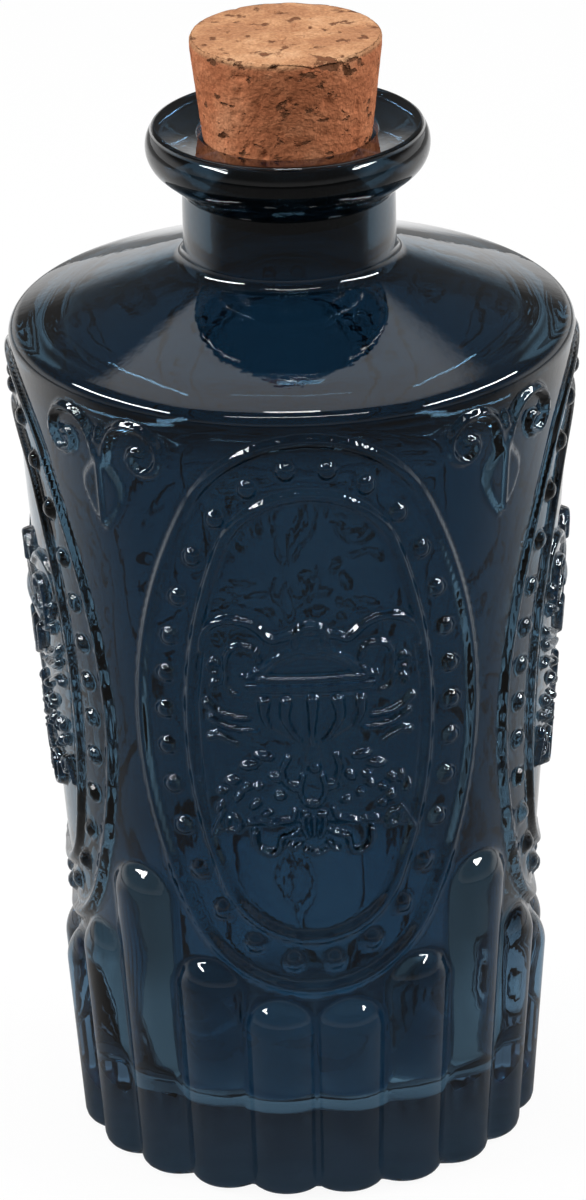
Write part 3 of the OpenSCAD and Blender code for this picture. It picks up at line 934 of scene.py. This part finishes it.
def make_floor():
    """Pale paper, white to the camera. To the glass its glow is a painted pool of light behind the bottle, with
    painted shade at its sides and a painted shadow under it.
    """
    mesh = bpy.data.meshes.new("studio_floor")
    size = 3.0
    low = -0.0003
    mesh.from_pydata(
        [(-size, -size, low), (size, -size, low), (size, size, low), (-size, size, low)], [], [(0, 1, 2, 3)])
    floor = bpy.data.objects.new("studio_floor", mesh)
    bpy.context.scene.collection.objects.link(floor)
    material, tree, out = new_material("pale_floor")
    link = tree.links.new
    paper = node_of(tree, "ShaderNodeBsdfDiffuse", (500, 0))
    paper.inputs["Color"].default_value = (0.06, 0.06, 0.06, 1)
    glow = node_of(tree, "ShaderNodeEmission", (500, -200))
    path = node_of(tree, "ShaderNodeLightPath", (-700, -100))
    place = node_of(tree, "ShaderNodeTexCoord", (-1100, -500))
    parts = node_of(tree, "ShaderNodeSeparateXYZ", (-900, -500))
    away = node_of(tree, "ShaderNodeVectorMath", (-900, -700), operation="LENGTH")
    link(place.outputs["Object"], parts.inputs[0])
    link(place.outputs["Object"], away.inputs[0])
    # Painted pool of light in the floor's glow, round the bottle
    painted_light_pool = ease(tree, (-650, -700), away.outputs["Value"], 0.36, 0.5, 1.0, 0.15)
    behind = ease(tree, (-650, -450), parts.outputs["Y"], -0.12, 0.25, 0.08, 1.0)
    far = ease(tree, (-650, -950), away.outputs["Value"], 0.6, 1.2, 1.0, 0.3)
    mirrored = sum_of(tree, (-400, -500), "MULTIPLY", path.outputs["Is Glossy Ray"], behind)
    mirrored = sum_of(tree, (-200, -500), "MULTIPLY", mirrored, far)
    side = sum_of(tree, (-900, -1100), "ABSOLUTE", parts.outputs["X"], 0)
    # Painted shade beside the bottle in the glow that the glass sees through itself
    middle = ease(tree, (-650, -1200), side, 0.025, 0.055, 1.0, 0.0)
    back = ease(tree, (-650, -1450), parts.outputs["Y"], -0.02, 0.06, 0.0, 1.0)
    front = ease(tree, (-650, -2200), parts.outputs["Y"], -0.2, -0.13, 0.9, 0.0)
    through = sum_of(tree, (-450, -1200), "MAXIMUM", middle, back)
    through = sum_of(tree, (-400, -1400), "MAXIMUM", through, front)
    through = sum_of(tree, (-350, -900), "MULTIPLY", through, painted_light_pool)
    width = ease(tree, (-650, -1700), side, 0.13, 0.24, 1.0, 0.2)
    through = sum_of(tree, (-250, -900), "MULTIPLY", through, width)
    through = sum_of(tree, (-200, -250), "MULTIPLY", through, path.outputs["Is Transmission Ray"])
    # Painted shadow under the bottle in the floor's glow, seen by the glass
    under = ease(tree, (-650, -1950), away.outputs["Value"], 0.038, 0.06, 0.5, 1.0)
    seen = sum_of(tree, (-50, -300), "MAXIMUM", mirrored, through)
    seen = sum_of(tree, (50, -300), "MULTIPLY", seen, under)
    seen = sum_of(tree, (150, -200), "MAXIMUM", seen, path.outputs["Is Camera Ray"])
    link(sum_of(tree, (300, -200), "MULTIPLY", seen, 0.93), glow.inputs["Strength"])
    both = node_of(tree, "ShaderNodeAddShader", (700, 0))
    link(paper.outputs[0], both.inputs[0])
    link(glow.outputs[0], both.inputs[1])
    link(both.outputs[0], out.inputs["Surface"])
    mesh.materials.append(material)


def make_world():
    """White up to a little above the horizon, then a dim room with a softbox over and behind the bottle."""
    world = bpy.data.worlds.new("studio")
    bpy.context.scene.world = world
    world.use_nodes = True
    tree = world.node_tree
    tree.nodes.clear()
    link = tree.links.new
    out = node_of(tree, "ShaderNodeOutputWorld", (1100, 0))
    back = node_of(tree, "ShaderNodeBackground", (900, 0))
    back.inputs["Color"].default_value = (1, 1, 1, 1)
    path = node_of(tree, "ShaderNodeLightPath", (-400, 500))
    place = node_of(tree, "ShaderNodeTexCoord", (-1100, 0))
    parts = node_of(tree, "ShaderNodeSeparateXYZ", (-900, 0))
    link(place.outputs["Generated"], parts.inputs[0])
    # The softbox is a rectangle on a level ceiling
    height = sum_of(tree, (-700, -200), "MAXIMUM", parts.outputs["Z"], 0.001)
    side = sum_of(tree, (-500, 0), "DIVIDE", parts.outputs["X"], height)
    side = sum_of(tree, (-350, 0), "ABSOLUTE", side, 0)
    depth = sum_of(tree, (-500, -200), "DIVIDE", parts.outputs["Y"], height)
    depth = sum_of(tree, (-350, -200), "SUBTRACT", depth, 0.5)
    depth = sum_of(tree, (-200, -200), "ABSOLUTE", depth, 0)
    across = ease(tree, (-50, 0), side, 0.36, 0.52, SOFTBOX, 0.0)
    along = ease(tree, (-50, -250), depth, 0.38, 0.5, 1.0, 0.0)
    box = sum_of(tree, (150, -100), "MULTIPLY", across, along)
    room = sum_of(tree, (300, -100), "ADD", box, ROOM_LIGHT)
    # The band of white that the glass sees, and all that the camera sees
    band = ease(tree, (-350, 250), parts.outputs["Z"], 0.06, 0.3, 1.0, 0.0)
    low_band = ease(tree, (-350, 0), parts.outputs["Z"], 0.0, 0.12, 1.0, 0.0)
    through = sum_of(tree, (-150, 100), "MULTIPLY", path.outputs["Is Transmission Ray"], low_band)
    backward = ease(tree, (-350, 700), parts.outputs["Y"], -0.1, 0.3, 0.3, 1.0)
    band = sum_of(tree, (-250, 600), "MULTIPLY", band, backward)
    glass = sum_of(tree, (-150, 500), "MULTIPLY", path.outputs["Is Glossy Ray"], band)
    glass = sum_of(tree, (0, 400), "MAXIMUM", glass, through)
    seen = sum_of(tree, (150, 400), "MAXIMUM", glass, path.outputs["Is Camera Ray"])
    level = node_of(tree, "ShaderNodeMix", (500, 0))
    level.data_type = "FLOAT"
    link(seen, level.inputs[0])
    link(room, level.inputs[2])
    level.inputs[3].default_value = 1.0
    link(level.outputs[0], back.inputs["Strength"])
    link(back.outputs[0], out.inputs["Surface"])


def make_lamp(name, place, target, size, power):
    lamp = bpy.data.lights.new(name, "AREA")
    lamp.shape = "RECTANGLE"
    lamp.size, lamp.size_y = size
    lamp.energy = power
    holder = bpy.data.objects.new(name, lamp)
    bpy.context.scene.collection.objects.link(holder)
    holder.location = place
    holder.rotation_euler = (Vector(target) - Vector(place)).to_track_quat("-Z", "Y").to_euler()


def make_camera():
    """The photograph's view, fitted to the bottle's rings, flutes and edges."""
    distance, lift, turn, roll = 1.450, 0.396, math.radians(-2.14), -0.0225
    focal, centre_x, centre_y = 8138.6, 287.05, 547.83
    aim = Vector((-0.0017, 0, 0.10905))
    place = Vector((aim.x, -distance * math.cos(lift), aim.z + distance * math.sin(lift)))
    forward = (aim - place).normalized()
    right = Vector((1, 0, 0))
    up = right.cross(forward)
    right, up = (right * math.cos(roll) + up * math.sin(roll),
                 up * math.cos(roll) - right * math.sin(roll))
    turned = Matrix.Rotation(turn, 4, "Z")
    axes = Matrix((right, up, -forward)).transposed().to_4x4()
    lens = bpy.data.cameras.new("camera")
    lens.sensor_fit = "VERTICAL"
    lens.sensor_height = 36
    lens.lens = focal / 1200 * 36
    lens.shift_x = (293 - centre_x) / 1200
    lens.shift_y = (centre_y - 600) / 1200
    lens.clip_start = 0.05
    camera = bpy.data.objects.new("camera", lens)
    bpy.context.scene.collection.objects.link(camera)
    camera.matrix_world = turned @ (Matrix.Translation(place) @ axes)
    bpy.context.scene.camera = camera


unevenness = speckle_group()
make_bottle(navy_glass(unevenness))
make_cork(bark_cork(unevenness))
make_floor()
make_world()
make_lamp("left_strip", (-1.0, -0.15, 0.8), (0, 0, 0.11), (1.0, 0.1), 14.0)
make_lamp("right_strip", (1.0, -0.15, 0.8), (0, 0, 0.11), (1.0, 0.1), 13.5)
make_lamp("front_strip", (0, -0.62, 1.1), (0, 0, 0.11), (0.9, 0.06), 2.6)
make_lamp("top_light", (0, 0.1, 1.3), (0, 0, 0.11), (0.2, 0.2), 2.4)
make_camera()
bpy.context.scene.view_settings.view_transform = "Standard"
